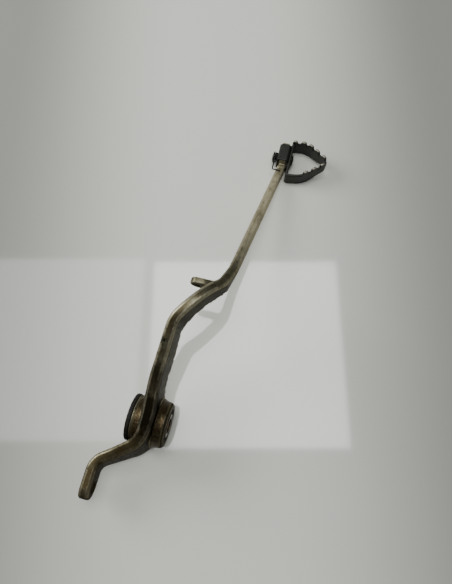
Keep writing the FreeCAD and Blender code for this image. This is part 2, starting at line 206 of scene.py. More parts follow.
def corner_path(points, step, closed=False):
    """Straight runs joined by tangent arcs, through points of u, v and corner radius.

    Arcs are sampled about every step, and a closed path doesn't repeat its first point.
    """
    samples = []
    last = len(points) - 1
    for i, (u, v, radius) in enumerate(points):
        here = Vector((u, v))
        if radius <= 0 or (not closed and i in (0, last)):
            samples.append(here)
            continue
        back = (Vector(points[i - 1][:2]) - here).normalized()
        ahead = (Vector(points[(i + 1) % len(points)][:2]) - here).normalized()
        half = back.angle(ahead) / 2
        sweep = math.pi - 2 * half
        centre = here + (back + ahead).normalized() * (radius / math.sin(half))
        start = here + back * (radius / math.tan(half)) - centre
        end = here + ahead * (radius / math.tan(half)) - centre
        count = max(2, math.ceil(sweep * radius / step))
        for k in range(count + 1):
            part = k / count
            swung = start * math.sin((1 - part) * sweep) + end * math.sin(part * sweep)
            samples.append(centre + swung / math.sin(sweep))
    return np.array([tuple(spot) for spot in samples])


def walk(path, distances):
    """Points and unit directions at the given distances along a sampled path."""
    gaps = np.linalg.norm(np.diff(path, axis=0), axis=1)
    along = np.concatenate([[0], np.cumsum(gaps)])
    spots = np.stack([np.interp(distances, along, path[:, k]) for k in (0, 1)], 1)
    near = 0.25                          # a direction is taken between points this far to each side
    ahead = np.stack([np.interp(distances + near, along, path[:, k]) for k in (0, 1)], 1)
    behind = np.stack([np.interp(distances - near, along, path[:, k]) for k in (0, 1)], 1)
    direction = ahead - behind
    return spots, direction / np.linalg.norm(direction, axis=1)[:, None]


def path_length(path):
    """Length along a sampled path."""
    return float(np.linalg.norm(np.diff(path, axis=0), axis=1).sum())


def rounded_section(half_width, low, high, radius, corner_steps, side_steps):
    """A rounded rectangle, as rows of across and height, with spare points down its sides."""
    radius = max(1e-4, min(radius, half_width * 0.98, (high - low) * 0.49))
    inner_w = half_width - radius
    inner_low, inner_high = low + radius, high - radius
    quarter = np.linspace(0, math.pi / 2, corner_steps + 1)
    spare = np.linspace(0, 1, side_steps + 2)[1:-1]
    rows = []
    for start, cw, ch in ((0, inner_w, inner_high), (1, -inner_w, inner_high),
                          (2, -inner_w, inner_low), (3, inner_w, inner_low)):
        angles = quarter + start * math.pi / 2
        rows.append(np.stack([cw + radius * np.cos(angles), ch + radius * np.sin(angles)], 1))
        if start == 1:
            rows.append(np.stack([np.full(side_steps, -half_width),
                                  inner_high + (inner_low - inner_high) * spare], 1))
        if start == 3:
            rows.append(np.stack([np.full(side_steps, half_width),
                                  inner_low + (inner_high - inner_low) * spare], 1))
    return np.concatenate(rows)


def piece(name, points_mm, faces, smooth=True):
    """A mesh object at the origin from points in millimetres, merged and with its faces outward."""
    mesh = bpy.data.meshes.new(name)
    mesh.from_pydata([tuple(np.array(p) * MM) for p in points_mm], [], faces)
    shape = bmesh.new()
    shape.from_mesh(mesh)
    bmesh.ops.remove_doubles(shape, verts=shape.verts, dist=1e-6)
    bmesh.ops.recalc_face_normals(shape, faces=shape.faces)
    shape.to_mesh(mesh)
    shape.free()
    made = bpy.data.objects.new(name, mesh)
    bpy.context.scene.collection.objects.link(made)
    mesh.polygons.foreach_set("use_smooth", [smooth] * len(mesh.polygons))
    return made


def skin(rings, closed=False):
    """Faces between rings of equal length, capped at both ends unless the row of rings closes."""
    count = len(rings)
    size = len(rings[0])
    points = np.concatenate(rings)
    faces = []
    for i in range(count if closed else count - 1):
        for k in range(size):
            a, b = i * size + k, i * size + (k + 1) % size
            c, d = ((i + 1) % count) * size + (k + 1) % size, ((i + 1) % count) * size + k
            faces.append((a, b, c, d))
    if not closed:
        faces.append(tuple(range(size))[::-1])
        faces.append(tuple(range((count - 1) * size, count * size)))
    return points, faces


def turned(name, profile, x=0.0, z=0.0, segments=96, step=0.15):
    """A profile of y, radius and corner radius, closed and turned round an axis along Y."""
    outline = corner_path(profile, step, closed=True)
    rings = []
    for angle in np.arange(segments) * TAU / segments:
        rings.append(np.stack([x + outline[:, 1] * math.cos(angle), outline[:, 0],
                               z + outline[:, 1] * math.sin(angle)], 1))
    points, faces = skin(rings, closed=True)
    return piece(name, points, faces)


def with_modifiers_applied(made):
    """Turns the object's evaluated result into its plain mesh and drops the modifiers."""
    evaluated = made.evaluated_get(bpy.context.evaluated_depsgraph_get())
    mesh = bpy.data.meshes.new_from_object(evaluated)
    made.modifiers.clear()
    made.data = mesh
    return made


def combined(made, other, operation):
    """made joined with or cut by the closed shape other, which is used up."""
    cut = made.modifiers.new("shape", "BOOLEAN")
    cut.operation = operation
    cut.object = other
    cut.solver = "EXACT"
    with_modifiers_applied(made)
    bpy.data.objects.remove(other)
    return made


def mark_wear(made, edge_radius, spread=1):
    """Point attribute wear: near 1 where the surface turns outward as tightly as edge_radius (mm)."""
    mesh = made.data
    spots = np.empty(len(mesh.vertices) * 3)
    mesh.vertices.foreach_get("co", spots)
    spots = spots.reshape(-1, 3) / MM
    normals = np.empty(len(mesh.vertices) * 3)
    mesh.vertices.foreach_get("normal", normals)
    normals = normals.reshape(-1, 3)
    ends = np.empty(len(mesh.edges) * 2, int)
    mesh.edges.foreach_get("vertices", ends)
    a, b = ends.reshape(-1, 2).T
    span = spots[b] - spots[a]
    squared = np.maximum((span ** 2).sum(1), 1e-4)
    total = len(spots)
    bend = np.bincount(a, np.clip(-2 * (span * normals[a]).sum(1) / squared, -3, 3), total)
    bend += np.bincount(b, np.clip(2 * (span * normals[b]).sum(1) / squared, -3, 3), total)
    neighbours = np.maximum(np.bincount(a, minlength=total) + np.bincount(b, minlength=total), 1)
    wear = np.clip(bend / neighbours * edge_radius * 1.5, 0, 1)
    for _ in range(spread):
        around = np.bincount(a, wear[b], total) + np.bincount(b, wear[a], total)
        wear = 0.5 * wear + 0.5 * around / neighbours
    layer = mesh.attributes.get("wear") or mesh.attributes.new("wear", "FLOAT", "POINT")
    layer.data.foreach_set("value", wear.astype(np.float32))


# ---- Materials --------------------------------------------------------------------------------

# A colour Mix node takes its factor at input 0 and its two colours at 6 and 7, and gives output 2.

def fill(tree, node, inputs):
    """Links each input of a node to the output given for it, or sets it to the value given."""
    for key, value in inputs.items():
        if isinstance(value, bpy.types.NodeSocket):
            tree.links.new(value, node.inputs[key])
        else:
            node.inputs[key].default_value = value


def add(tree, kind, inputs=None, stops=None, **settings):
    """Adds a node with its settings, links or values for its inputs, and colour stops for a ramp."""
    made = tree.nodes.new(kind)
    for key, value in settings.items():
        setattr(made, key, value)
    fill(tree, made, inputs or {})
    if stops:
        elements = made.color_ramp.elements
        while len(elements) < len(stops):
            elements.new(0.5)
        for element, (place, colour) in zip(elements, stops):
            element.position = place
            element.color = linear(colour) if isinstance(colour, str) else (colour, colour, colour, 1)
    return made


def new_material(name):
    """An empty surface: its node tree, its shader and its Object coordinates."""
    material = bpy.data.materials.new(name)
    material.use_nodes = True
    tree = material.node_tree
    shader = tree.nodes["Principled BSDF"]
    coordinates = add(tree, "ShaderNodeTexCoord").outputs["Object"]
    return material, tree, shader, coordinates


def per_mm(feature_mm):
    """Texture scale that gives features of that many millimetres on coordinates in metres."""
    return 1 / (feature_mm * MM)


def stained_zinc_plate():
    """Zinc-plated mild steel plate, bent and welded: a satin beige metal, gone brown in blotches where
    water and chain oil dried on it, black with grease round the pivot, and bright along its edges,
    partly worn there and partly a painted highlight."""
    material, tree, shader, spot = new_material("stained_zinc_plate")
    drawn = add(tree, "ShaderNodeMapping",
                {"Vector": spot, "Rotation": (0, 0, 0.14), "Scale": (0.22, 1, 1)})
    broad = add(tree, "ShaderNodeTexNoise", {"Vector": spot, "Scale": per_mm(11), "Detail": 3.0})
    mottle = add(tree, "ShaderNodeTexNoise",
                 {"Vector": spot, "Scale": per_mm(2.6), "Detail": 6.0, "Roughness": 0.68})
    streak = add(tree, "ShaderNodeTexNoise",
                 {"Vector": drawn.outputs[0], "Scale": per_mm(1.3), "Detail": 6.0, "Roughness": 0.72})
    speck = add(tree, "ShaderNodeTexNoise",
                {"Vector": spot, "Scale": per_mm(0.8), "Detail": 3.0, "Roughness": 0.6})
    place = add(tree, "ShaderNodeSeparateXYZ", {0: spot})
    forward = add(tree, "ShaderNodeMapRange", {"Value": place.outputs["X"], "From Min": PALE_FROM,
                                               "From Max": PALE_BY}, interpolation_type="SMOOTHSTEP")
    plating = add(tree, "ShaderNodeMix", {0: forward.outputs[0], 6: linear(PLATE_OLIVE),
                                          7: linear(PLATE_PALE)}, data_type="RGBA")
    blotch = add(tree, "ShaderNodeValToRGB", {0: broad.outputs[0]}, stops=[(0.44, 0.0), (0.68, 0.8)])
    brown = add(tree, "ShaderNodeMix", {0: blotch.outputs[0], 6: plating.outputs[2],
                                        7: linear(PLATE_BROWN)}, data_type="RGBA")
    patches = add(tree, "ShaderNodeValToRGB", {0: streak.outputs[0]}, stops=[(0.50, 0.0), (0.68, 0.7)])
    stained = add(tree, "ShaderNodeMix", {0: patches.outputs[0], 6: brown.outputs[2],
                                          7: linear(STAIN_DARK)}, data_type="RGBA")
    wear = add(tree, "ShaderNodeAttribute", attribute_name="wear")
    # Edge mask from the wear attribute: worn metal on the edges, and a painted highlight along them.
    rubbed_and_highlit = add(tree, "ShaderNodeMath", {0: wear.outputs["Fac"], 1: streak.outputs[0]},
                 operation="MULTIPLY")
    edge = add(tree, "ShaderNodeMapRange", {"Value": rubbed_and_highlit.outputs[0], "From Min": 0.20,
                                            "From Max": 0.46, "To Max": 0.6})
    bright = add(tree, "ShaderNodeMix", {0: edge.outputs[0], 6: stained.outputs[2],
                                         7: linear(EDGE_WEAR_AND_HIGHLIGHT)}, data_type="RGBA")
    rear = add(tree, "ShaderNodeMapRange", {"Value": place.outputs["X"], "From Min": OILY_FROM,
                                            "From Max": OILY_BY, "To Max": 0.72},
               interpolation_type="SMOOTHSTEP")
    oily = add(tree, "ShaderNodeMix", {0: rear.outputs[0], 6: bright.outputs[2],
                                       7: linear(OIL_BROWN)}, data_type="RGBA")
    ragged = add(tree, "ShaderNodeMath", {0: mottle.outputs[0], 1: 0.011, 2: -0.0055},
                 operation="MULTIPLY_ADD")
    finish = oily
    for centre, reach, strength in GREASE_SPOTS:
        gap = add(tree, "ShaderNodeVectorMath", {0: spot, 1: centre}, operation="DISTANCE")
        depth = add(tree, "ShaderNodeMath", {0: gap.outputs["Value"], 1: ragged.outputs[0]},
                    operation="ADD")
        mask = add(tree, "ShaderNodeMapRange", {"Value": depth.outputs[0], "From Min": reach * 1.45 * MM,
                                                "From Max": reach * 0.55 * MM, "To Max": strength},
                   interpolation_type="SMOOTHSTEP")
        finish = add(tree, "ShaderNodeMix", {0: mask.outputs[0], 6: finish.outputs[2],
                                             7: linear(GREASE)}, data_type="RGBA")
    # Painted highlight: a thin line of the edge colour laid back over the grease.
    rim = add(tree, "ShaderNodeMath", {0: edge.outputs[0], 1: 0.22}, operation="MULTIPLY")
    finish = add(tree, "ShaderNodeMix", {0: rim.outputs[0], 6: finish.outputs[2], 7: linear(EDGE_WEAR_AND_HIGHLIGHT)},
                 data_type="RGBA")
    gloss = add(tree, "ShaderNodeMapRange", {"Value": mottle.outputs[0], "From Min": 0.35,
                                             "From Max": 0.7, "To Min": 0.26, "To Max": 0.5})
    grain = add(tree, "ShaderNodeBump", {"Height": speck.outputs[0], "Distance": 0.00006,
                                         "Strength": 0.5})
    dents = add(tree, "ShaderNodeBump", {"Height": mottle.outputs[0], "Distance": 0.00025,
                                         "Strength": 0.35, "Normal": grain.outputs[0]})
    fill(tree, shader, {"Base Color": finish.outputs[2], "Roughness": gloss.outputs[0],
                        "Normal": dents.outputs[0], "Metallic": 0.75,
                        "Specular Tint": linear(STAIN_TINT)})
    return material


def weld_steel():
    """Weld metal under the same plating: darker, scaly, with dirt held between its ripples."""
    material, tree, shader, spot = new_material("weld_steel")
    scale = add(tree, "ShaderNodeTexNoise", {"Vector": spot, "Scale": per_mm(1.2), "Detail": 5.0})
    colour = add(tree, "ShaderNodeValToRGB", {0: scale.outputs[0]},
                 stops=[(0.35, STAIN_DARK), (0.55, PLATE_BROWN), (0.75, PLATE_OLIVE)])
    relief = add(tree, "ShaderNodeBump",
                 {"Height": scale.outputs[0], "Distance": 0.0002, "Strength": 0.5})
    fill(tree, shader, {"Base Color": colour.outputs[0], "Normal": relief.outputs[0], "Metallic": 0.8,
                        "Roughness": 0.42})
    return material


def sintered_bronze():
    """Oil-filled sintered bronze: a dull brown-gold with open pores of about 0.15 mm, which are too
    fine to show and so are drawn at 0.4 mm."""
    material, tree, shader, spot = new_material("sintered_bronze")
    pores = add(tree, "ShaderNodeTexVoronoi", {"Vector": spot, "Scale": per_mm(0.4)})
    colour = add(tree, "ShaderNodeValToRGB", {0: pores.outputs["Distance"]},
                 stops=[(0.1, STAIN_DARK), (0.35, BRONZE)])
    fill(tree, shader, {"Base Color": colour.outputs[0], "Metallic": 0.9, "Roughness": 0.4})
    return material


def ground_steel():
    """Ground bearing steel: fine lines round the axis every 0.3 mm, and a film of old oil. The lines
    are 3.5 mm noise squeezed 12 times along the axis."""
    material, tree, shader, spot = new_material("ground_steel")
    stretched = add(tree, "ShaderNodeMapping", {"Vector": spot, "Scale": (1, 12, 1)})
    lines = add(tree, "ShaderNodeTexNoise", {"Vector": stretched.outputs[0], "Scale": per_mm(3.5),
                                             "Detail": 3.0})
    colour = add(tree, "ShaderNodeValToRGB", {0: lines.outputs[0]},
                 stops=[(0.3, STAIN_DARK), (0.5, PLATE_BROWN), (0.8, GROUND_STEEL)])
    relief = add(tree, "ShaderNodeBump", {"Height": lines.outputs[0], "Distance": 0.00003,
                                          "Strength": 0.4})
    fill(tree, shader, {"Base Color": colour.outputs[0], "Normal": relief.outputs[0], "Metallic": 1.0,
                        "Roughness": 0.3})
    return material


def nitrile_rubber():
    """Moulded nitrile rubber: black and dull, with road dust settled on it."""
    material, tree, shader, spot = new_material("nitrile_rubber")
    dust = add(tree, "ShaderNodeTexNoise", {"Vector": spot, "Scale": per_mm(1.6), "Detail": 5.0})
    colour = add(tree, "ShaderNodeValToRGB", {0: dust.outputs[0]},
                 stops=[(0.45, RUBBER_BLACK), (0.8, STAIN_DARK)])
    relief = add(tree, "ShaderNodeBump",
                 {"Height": dust.outputs[0], "Distance": 0.0001, "Strength": 0.3})
    fill(tree, shader, {"Base Color": colour.outputs[0], "Normal": relief.outputs[0], "Roughness": 0.7,
                        "Specular IOR Level": 0.25})
    return material


def worn_black_enamel():
    """Black enamel on steel: satin, greyed by boots, rusty where mud lay, and bare on the cog tips."""
    material, tree, shader, spot = new_material("worn_black_enamel")
    cloud = add(tree, "ShaderNodeTexNoise", {"Vector": spot, "Scale": per_mm(5), "Detail": 5.0})
    grit = add(tree, "ShaderNodeTexNoise", {"Vector": spot, "Scale": per_mm(0.7), "Detail": 4.0})
    paint = add(tree, "ShaderNodeValToRGB", {0: cloud.outputs[0]},
                stops=[(0.35, PAINT_BLACK), (0.7, PAINT_GREY)])
    rusty = add(tree, "ShaderNodeValToRGB", {0: grit.outputs[0]}, stops=[(0.55, 0.0), (0.72, 0.6)])
    rusted = add(tree, "ShaderNodeMix", {0: rusty.outputs[0], 6: paint.outputs[0], 7: linear(RUST)},
                 data_type="RGBA")
    place = add(tree, "ShaderNodeSeparateXYZ", {0: spot})
    high = add(tree, "ShaderNodeMapRange", {"Value": place.outputs["Z"], "From Min": COG_FROM,
                                            "From Max": COG_BY}, interpolation_type="SMOOTHSTEP")
    wear = add(tree, "ShaderNodeAttribute", attribute_name="wear")
    tip = add(tree, "ShaderNodeMath", {0: high.outputs[0], 1: wear.outputs["Fac"]}, operation="MULTIPLY")
    broken = add(tree, "ShaderNodeMath", {0: tip.outputs[0], 1: grit.outputs[0]}, operation="MULTIPLY")
    bare = add(tree, "ShaderNodeMapRange", {"Value": broken.outputs[0], "From Min": 0.08,
                                            "From Max": 0.24})
    finish = add(tree, "ShaderNodeMix", {0: bare.outputs[0], 6: rusted.outputs[2], 7: linear(WORN_TIP)},
                 data_type="RGBA")
    relief = add(tree, "ShaderNodeBump",
                 {"Height": grit.outputs[0], "Distance": 0.00012, "Strength": 0.5})
    fill(tree, shader, {"Base Color": finish.outputs[2], "Metallic": bare.outputs[0],
                        "Normal": relief.outputs[0], "Roughness": 0.46, "Specular IOR Level": 0.35})
    return material


def blackened_pin_steel():
    """Blackened mild steel: a dark grey metal with brown showing through."""
    material, tree, shader, spot = new_material("blackened_pin_steel")
    cloud = add(tree, "ShaderNodeTexNoise", {"Vector": spot, "Scale": per_mm(1.5), "Detail": 5.0})
    colour = add(tree, "ShaderNodeValToRGB", {0: cloud.outputs[0]},
                 stops=[(0.35, PAINT_BLACK), (0.65, PAINT_GREY), (0.85, RUST)])
    relief = add(tree, "ShaderNodeBump",
                 {"Height": cloud.outputs[0], "Distance": 0.0001, "Strength": 0.4})
    fill(tree, shader, {"Base Color": colour.outputs[0], "Normal": relief.outputs[0], "Metallic": 0.6,
                        "Roughness": 0.38})
    return material


def spring_wire():
    """Phosphated spring wire: a thin matt black coat, greyer in streaks where it rubs."""
    material, tree, shader, spot = new_material("spring_wire")
    streak = add(tree, "ShaderNodeTexNoise", {"Vector": spot, "Scale": per_mm(0.5), "Detail": 2.0})
    colour = add(tree, "ShaderNodeValToRGB", {0: streak.outputs[0]},
                 stops=[(0.4, PAINT_BLACK), (0.7, WIRE_DARK)])
    fill(tree, shader, {"Base Color": colour.outputs[0], "Specular IOR Level": 0.2, "Roughness": 0.6})
    return material


def laminate_table():
    """Pale laminate: a grey-white with a gloss that mirrors what stands on it, and painted shade that
    darkens it toward the sides.
    """
    material, tree, shader, spot = new_material("laminate_table")
    across = add(tree, "ShaderNodeVectorMath", {0: spot, 1: ACROSS}, operation="DOT_PRODUCT")
    aside = add(tree, "ShaderNodeMath", {0: across.outputs["Value"], 1: -TABLE_MID}, operation="ADD")
    far = add(tree, "ShaderNodeMath", {0: aside.outputs[0]}, operation="ABSOLUTE")
    # Painted shade: the table darkens away from its middle, standing in for the light's falloff.
    painted_falloff = add(tree, "ShaderNodeMapRange", {"Value": far.outputs[0], "From Min": PAINTED_SHADE_FROM,
                                           "From Max": PAINTED_SHADE_BY}, interpolation_type="SMOOTHSTEP")
    tone = add(tree, "ShaderNodeMix", {0: painted_falloff.outputs[0], 6: linear(FLOOR_PALE), 7: linear(FLOOR_PAINTED_SHADE)},
               data_type="RGBA")
    fill(tree, shader, {"Base Color": tone.outputs[2], "Roughness": 0.06, "IOR": 1.6})
    return material


# ---- Rows that follow a path --------------------------------------------------------------------

def bead_tree(material):
    """Geometry Nodes for a weld: overlapping coins of metal set along a path."""
    tree = bpy.data.node_groups.new("weld_bead", "GeometryNodeTree")
    face = tree.interface
    face.new_socket("Path", in_out="INPUT", socket_type="NodeSocketGeometry")
    for name, value in (("Coin radius", 0.0015), ("Pitch", 0.001)):
        face.new_socket(name, in_out="INPUT", socket_type="NodeSocketFloat").default_value = value
    face.new_socket("Seed", in_out="INPUT", socket_type="NodeSocketInt").default_value = SEED
    face.new_socket("Bead", in_out="OUTPUT", socket_type="NodeSocketGeometry")
    given = add(tree, "NodeGroupInput")
    points = add(tree, "GeometryNodeCurveToPoints", {"Curve": given.outputs["Path"],
                                                     "Length": given.outputs["Pitch"]}, mode="LENGTH")
    coin = add(tree, "GeometryNodeMeshIcoSphere", {"Radius": given.outputs["Coin radius"],
                                                   "Subdivisions": 2})
    size = add(tree, "FunctionNodeRandomValue", {0: (0.85, 0.85, 0.42), 1: (1.1, 1.1, 0.6),
                                                 "Seed": given.outputs["Seed"]},
               data_type="FLOAT_VECTOR")
    row = add(tree, "GeometryNodeInstanceOnPoints",
              {"Points": points.outputs["Points"], "Instance": coin.outputs["Mesh"],
               "Rotation": points.outputs["Rotation"], "Scale": size.outputs["Value"]})
    real = add(tree, "GeometryNodeRealizeInstances", {0: row.outputs[0]})
    soft = add(tree, "GeometryNodeSetShadeSmooth", {0: real.outputs[0]})
    coat = add(tree, "GeometryNodeSetMaterial", {0: soft.outputs[0], "Material": material})
    add(tree, "NodeGroupOutput", {0: coat.outputs[0]})
    return tree


def weld_bead(name, tree, path_mm, coin_mm, pitch_mm):
    """A weld run along a path of points in millimetres."""
    curve = bpy.data.curves.new(name + "_path", "CURVE")
    curve.dimensions = "3D"
    spline = curve.splines.new("POLY")
    spline.points.add(len(path_mm) - 1)
    for point, place in zip(spline.points, path_mm):
        point.co = (*(np.array(place) * MM), 1)
    holder = bpy.data.objects.new(name + "_path", curve)
    bpy.context.scene.collection.objects.link(holder)
    row = holder.modifiers.new("bead", "NODES")
    row.node_group = tree
    values = {"Coin radius": coin_mm * MM, "Pitch": pitch_mm * MM, "Seed": SEED}
    for socket in tree.interface.items_tree:
        if socket.name in values:
            row[socket.identifier] = values[socket.name]
    mesh = bpy.data.meshes.new_from_object(holder.evaluated_get(bpy.context.evaluated_depsgraph_get()))
    bpy.data.objects.remove(holder)
    made = bpy.data.objects.new(name, mesh)
    bpy.context.scene.collection.objects.link(made)
    return made


# ---- Pieces -----------------------------------------------------------------------------------

def heights_at(outline, x, lean):
    """Lowest and highest z where the leaning upright at plan position x crosses a side outline."""
    beside = outline[:, 0] - x - lean * (outline[:, 1] - LEAN_LEVEL)
    after = np.roll(beside, -1)
    crossing = (beside > 0) != (after > 0)
    share = beside[crossing] / (beside[crossing] - after[crossing])
    z = outline[crossing, 1] + (np.roll(outline[:, 1], -1)[crossing] - outline[crossing, 1]) * share
    return (z.min(), z.max()) if len(z) else (None, None)


def rim_inset(distance, radius):
    """How far a rounded rim of that radius has drawn in, at a distance from the end of the piece."""
    if distance >= radius:
        return 0.0
    return radius - math.sqrt(max(radius ** 2 - (radius - distance) ** 2, 0))


def pedal_arm(plate):
    """The bent bar with rounded edges, its lower outboard edge nicked by stones."""
    plan = corner_path([point[:3] for point in ARM_PLAN], 0.3)
    side = corner_path(ARM_SIDE, 0.3, closed=True)
    tongue = corner_path([
        (PIN_X - TONGUE_R, PIN_Z + TONGUE_R, TONGUE_R - 0.05),
        (TONGUE_NOSE, PIN_Z + TONGUE_R, 2.5),
        (TONGUE_NOSE, PIN_Z - TONGUE_R, 2.5),
        (PIN_X - TONGUE_R, PIN_Z - TONGUE_R, TONGUE_R - 0.05),
    ], 0.3, closed=True)
    start_x = EYE.x - STRAP_LEAN * (EYE.z - LEAN_LEVEL) - EYE_R * math.hypot(1, STRAP_LEAN) + 0.01
    start = start_x - ARM_PLAN[0][0]
    end = path_length(plan) - (ARM_PLAN[-1][0] - TONGUE_NOSE)
    round_end = start + EYE_R * (1 - np.cos(np.linspace(0.05, math.pi / 2, 26)))
    body = np.arange(round_end[-1] + ARM_STEP, end - NOSE_RUN, ARM_STEP)
    nose = end - NOSE_RUN * (1 - np.sin(np.linspace(0, math.pi / 2 - 0.02, 14)))
    distances = np.concatenate([round_end, body, nose])
    spots, ways = walk(plan, distances)
    thickness = np.interp(spots[:, 0], [p[0] for p in ARM_PLAN], [p[3] for p in ARM_PLAN])
    chance = np.random.RandomState(SEED)
    nicks = np.stack([chance.uniform(*NICK_X, NICKS), chance.uniform(*NICK_HALF_L, NICKS),
                      chance.uniform(*NICK_DEPTH, NICKS)], 1)
    rings = []
    for spot, way, width, distance in zip(spots, ways, thickness, distances):
        fade = np.clip((spot[0] - LEAN_FADE[0]) / (LEAN_FADE[1] - LEAN_FADE[0]), 0, 1)
        lean = STRAP_LEAN * (1 - fade * fade * (3 - 2 * fade))
        low, high = heights_at(side, spot[0], lean)
        if spot[0] > TONGUE_START:
            low_t, high_t = heights_at(tongue, spot[0], 0)
            low = low if low is not None else low_t
            high = high if high is not None else high_t
            if low_t is not None:
                low, high = min(low, low_t), max(high, high_t)
        if abs(spot[0]) < HUB_PLATE_R - 0.1:
            low = min(low, -math.sqrt(HUB_PLATE_R ** 2 - spot[0] ** 2))
        flat = np.clip((spot[0] - TONGUE_START + TONGUE_RUN) / TONGUE_RUN, 0, 1)
        width = width + (TONGUE_T - width) * flat
        inset = max(rim_inset(distance - start, RIM_R), rim_inset(end - distance, RIM_R))
        edge_r = EDGE_R if flat < 1 else TONGUE_EDGE_R
        ring = rounded_section(width / 2 - inset, low, high, edge_r, corner_steps=6, side_steps=9)
        bite = (nicks[:, 2] * np.clip(1 - abs(spot[0] - nicks[:, 0]) / nicks[:, 1], 0, 1)).max()
        edge = np.clip(1 - np.hypot(ring[:, 0] + width / 2, ring[:, 1] - low) / NICK_REACH, 0, 1)
        ring = ring + edge[:, None] * bite * np.array(NICK_PUSH)
        left = np.array([-way[1], way[0]])
        flat_spots = spot + ring[:, :1] * left
        shift = lean * (ring[:, 1] - LEAN_LEVEL)
        rings.append(np.stack([flat_spots[:, 0] + shift, flat_spots[:, 1], ring[:, 1]], 1))
    arm = piece("pedal_arm", *skin(rings))
    half = HUB_PLATE_T / 2
    ring_plate = turned("hub_ring", [
        (HUB_PLATE_Y - half, BOSS_R - 1, 0), (HUB_PLATE_Y - half, HUB_PLATE_R, 1.2),
        (HUB_PLATE_Y + half, HUB_PLATE_R, 1.2), (HUB_PLATE_Y + half, BOSS_R - 1, 0)])
    combined(arm, ring_plate, "UNION")
    hub_hole = turned("hub_hole", [(-30, 0, 0), (-30, BOSS_R, 0), (30, BOSS_R, 0), (30, 0, 0)])
    combined(arm, hub_hole, "DIFFERENCE")
    eye_hole = turned("eye_hole", [(EYE.y - 9, 0, 0), (EYE.y - 9, EYE_BORE_R, 0),
                                   (EYE.y + 9, EYE_BORE_R, 0), (EYE.y + 9, 0, 0)],
                      EYE.x, EYE.z, segments=64)
    combined(arm, eye_hole, "DIFFERENCE")
    arm.data.polygons.foreach_set("use_smooth", [True] * len(arm.data.polygons))
    mark_wear(arm, EDGE_R)
    dress(arm, plate)
    return arm


def dress(made, material):
    """Gives a piece its one material."""
    made.data.materials.clear()
    made.data.materials.append(material)


def pivot_boss(plate):
    """The tube through the arm, chamfered and recessed for a seal at its outboard end."""
    shoulder = BOSS_OUT + SEAL_RECESS
    boss = turned("pivot_boss", [
        (BOSS_OUT, SEAL_RECESS_R, 0.3), (BOSS_OUT, BOSS_R - 1.2, 0.8), (BOSS_OUT + 1.6, BOSS_R, 1.6),
        (BOSS_IN, BOSS_R, 0.7), (BOSS_IN, BOSS_BORE_R, 0.4),
        (shoulder, BOSS_BORE_R, 0), (shoulder, SEAL_RECESS_R, 0)], segments=128)
    mark_wear(boss, 1.2)
    dress(boss, plate)
    return boss


def boss_weld(name, side, weld):
    """Smooth run of weld between the plate and the boss, hollow like a cove, its root sunk in both."""
    face = HUB_PLATE_Y + side * HUB_PLATE_T / 2
    root = BOSS_R - 0.5
    cove = [(face + side * (0.1 + COVE_LONG * t), BOSS_R + 0.03 + COVE_HIGH * (1 - t) ** 2.2, 0)
            for t in np.linspace(0, 1, 12)]
    sunk = face - side * 0.3
    fillet = turned(name, [(sunk, root, 0), (sunk, BOSS_R + 0.03 + COVE_HIGH, 0), *cove,
                           (face + side * (0.1 + COVE_LONG), root, 0)], segments=128)
    dress(fillet, weld)
    return fillet


def pivot_collar(steel):
    """The sleeve that the pivot bolt clamps."""
    end = COLLAR_HALF_L
    collar = turned("pivot_collar", [(-end, COLLAR_BORE_R, 0.5), (-end, COLLAR_R, 0.6),
                                     (end, COLLAR_R, 0.6), (end, COLLAR_BORE_R, 0.5)])
    mark_wear(collar, 0.6)
    dress(collar, steel)
    return collar


def dust_seal_inboard(rubber):
    """Seal with a neck in the boss's bore and a flange over its end, grooved in its face."""
    neck, face = BOSS_IN - 1.5, BOSS_IN + 0.02
    outer = BOSS_IN + SEAL_FLANGE
    groove = outer - 0.9
    seal = turned("dust_seal_inboard", [
        (neck, SEAL_LIP_R, 0.2), (neck, BOSS_BORE_R - 0.02, 0.2), (face, BOSS_BORE_R, 0),
        (face, SEAL_R, 0.6), (outer, SEAL_R, 0.9), (outer, SEAL_R - 1.6, 0.4),
        (groove, SEAL_R - 2.1, 0.5), (groove, SEAL_LIP_R + 2.0, 0.5), (outer, SEAL_LIP_R + 1.4, 0.4),
        (outer, SEAL_LIP_R, 0.3)], segments=128)
    dress(seal, rubber)
    return seal


def dust_seal_outboard(rubber):
    """Flat seal in the boss's outboard recess, grooved in its face."""
    inner, outer, groove = BOSS_OUT + SEAL_RECESS - 0.02, BOSS_OUT + 0.1, BOSS_OUT + 0.9
    seal = turned("dust_seal_outboard", [
        (inner, SEAL_LIP_R, 0.2), (inner, SEAL_RECESS_R - 0.02, 0.2), (outer, SEAL_RECESS_R - 0.02, 0.3),
        (groove, SEAL_RECESS_R - 1.3, 0.4), (groove, SEAL_LIP_R + 1.2, 0.4),
        (BOSS_OUT + 0.2, SEAL_LIP_R, 0.3)])
    dress(seal, rubber)
    return seal


